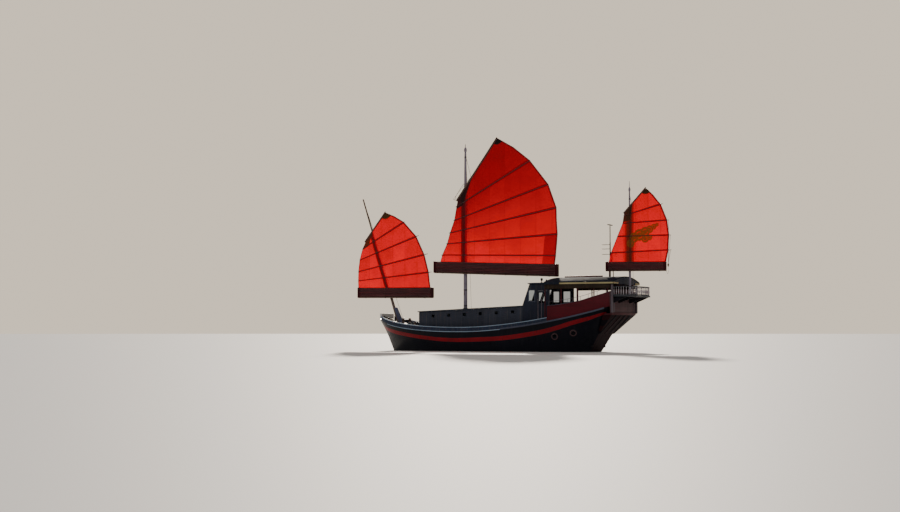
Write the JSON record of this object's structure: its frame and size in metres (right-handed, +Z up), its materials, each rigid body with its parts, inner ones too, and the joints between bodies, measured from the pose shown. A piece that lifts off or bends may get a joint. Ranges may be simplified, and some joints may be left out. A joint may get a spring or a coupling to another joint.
{
  "type": "junk ship",
  "caption": "Three-masted chinese junk afloat: motor hull with a high stern, saloon under a canopy, and fan-shaped battened sails that swing round their masts.",
  "frame": {"origin": "amidships on the centreline, at the waterline", "axes": "+X forward to the bow, +Y to port, +Z up"},
  "size_m": [26.3125, 5.75, 17.8249],
  "materials": {
    "hull_paint": "semi-gloss",
    "deck_teak": "matt",
    "bulwark_paint": "satin",
    "rail_paint": "satin",
    "cabin_paint": "satin",
    "wheelhouse_paint": "satin",
    "poop_paint": "satin",
    "transom_paint": "satin",
    "canopy_paint": "satin",
    "spar_wood": "satin",
    "sail_cloth": "matt",
    "stacked_sail": "matt",
    "engine_iron": "matt",
    "bronze": "satin",
    "aerial_metal": "satin"
  },
  "bodies": {
    "vessel": {"hull": "hull_paint", "keel": "hull_paint", "main_deck": "deck_teak", "saloon_floor": "deck_teak", "bulwark_port": "bulwark_paint", "bulwark_starboard": "bulwark_paint", "cap_rail_port": "rail_paint", "cap_rail_starboard": "rail_paint", "rub_rail_port": "rail_paint", "rub_rail_starboard": "rail_paint", "bow_beam": "rail_paint", "fore_mast_step": "rail_paint", "hatch_coaming": "rail_paint", "cabin_wall_port": "cabin_paint", "cabin_wall_starboard": "cabin_paint", "cabin_front": "cabin_paint", "cabin_roof": "cabin_paint", "wheelhouse_port": "wheelhouse_paint", "wheelhouse_starboard": "wheelhouse_paint", "wheelhouse_front": "wheelhouse_paint", "wheelhouse_roof": "wheelhouse_paint", "poop_bulwark_port": "poop_paint", "poop_bulwark_starboard": "poop_paint", "canopy_frame_port": "poop_paint", "canopy_frame_starboard": "poop_paint", "transom_board": "transom_paint", "transom_shelf": "transom_paint", "corner_post_port": "transom_paint", "corner_post_starboard": "transom_paint", "gallery_floor": "transom_paint", "gallery_balustrade": "transom_paint", "canopy_roof": "canopy_paint", "main_mast": "spar_wood", "fore_mast": "spar_wood", "mizzen_mast": "spar_wood", "boom_gallows": "spar_wood", "helm_pedestal": "spar_wood", "engine": "engine_iron", "aerial_pole": "aerial_metal"},
    "main_sail_set": {"main_sail": "sail_cloth", "main_yard": "spar_wood", "main_boom": "stacked_sail"},
    "fore_sail_set": {"fore_sail": "sail_cloth", "fore_yard": "spar_wood", "fore_boom": "stacked_sail"},
    "mizzen_sail_set": {"mizzen_sail": "sail_cloth", "mizzen_yard": "spar_wood", "mizzen_boom": "stacked_sail"},
    "rudder": {"rudder": "poop_paint"},
    "helm": {"helm_wheel": "spar_wood"},
    "screw": {"propeller": "bronze"},
    "door": {"wheelhouse_door": "wheelhouse_paint"},
    "engine_lid": {"engine_hatch": "deck_teak"},
    "fore_lid": {"fore_hatch": "rail_paint"}
  },
  "joints": [
    {"name": "main_sail_swing", "type": "hinge", "parent": "vessel", "child": "main_sail_set", "pos_m": [3.6, 0, 6.33], "axis": [0, 0, 1], "range_deg": [-60, 60]},
    {"name": "fore_sail_swing", "type": "hinge", "parent": "vessel", "child": "fore_sail_set", "pos_m": [10.39135, 0, 4.5], "axis": [0.3228, 0, 0.9465], "range_deg": [-60, 60]},
    {"name": "mizzen_sail_swing", "type": "hinge", "parent": "vessel", "child": "mizzen_sail_set", "pos_m": [-9.87, 0, 6.13], "axis": [0, 0, 1], "range_deg": [-60, 60]},
    {"name": "rudder_turn", "type": "hinge", "parent": "vessel", "child": "rudder", "pos_m": [-6.7, 0, -1], "axis": [0, 0, 1], "range_deg": [-35, 35]},
    {"name": "helm_turn", "type": "hinge", "parent": "vessel", "child": "helm", "pos_m": [-3.51, 0, 3.23], "axis": [1, 0, 0], "range_deg": [-300, 300]},
    {"name": "screw_spin", "type": "hinge", "parent": "vessel", "child": "screw", "pos_m": [-6.11, 0, -1.12], "axis": [1, 0, 0], "continuous": true},
    {"name": "door_swing", "type": "hinge", "parent": "vessel", "child": "door", "pos_m": [-3.534, 2.0663, 3.4], "axis": [0, 0, -1], "range_deg": [0, 100]},
    {"name": "engine_lid_open", "type": "hinge", "parent": "vessel", "child": "engine_lid", "pos_m": [-5.503, 0, 2.3123], "axis": [0, -1, 0], "range_deg": [0, 100]},
    {"name": "fore_lid_open", "type": "hinge", "parent": "vessel", "child": "fore_lid", "pos_m": [8.57, 0, 2.155], "axis": [0, 1, 0], "range_deg": [0, 100]}
  ],
  "couplings": [
    {"joint": "helm_turn", "follows": "rudder_turn", "ratio": 8}
  ]
}
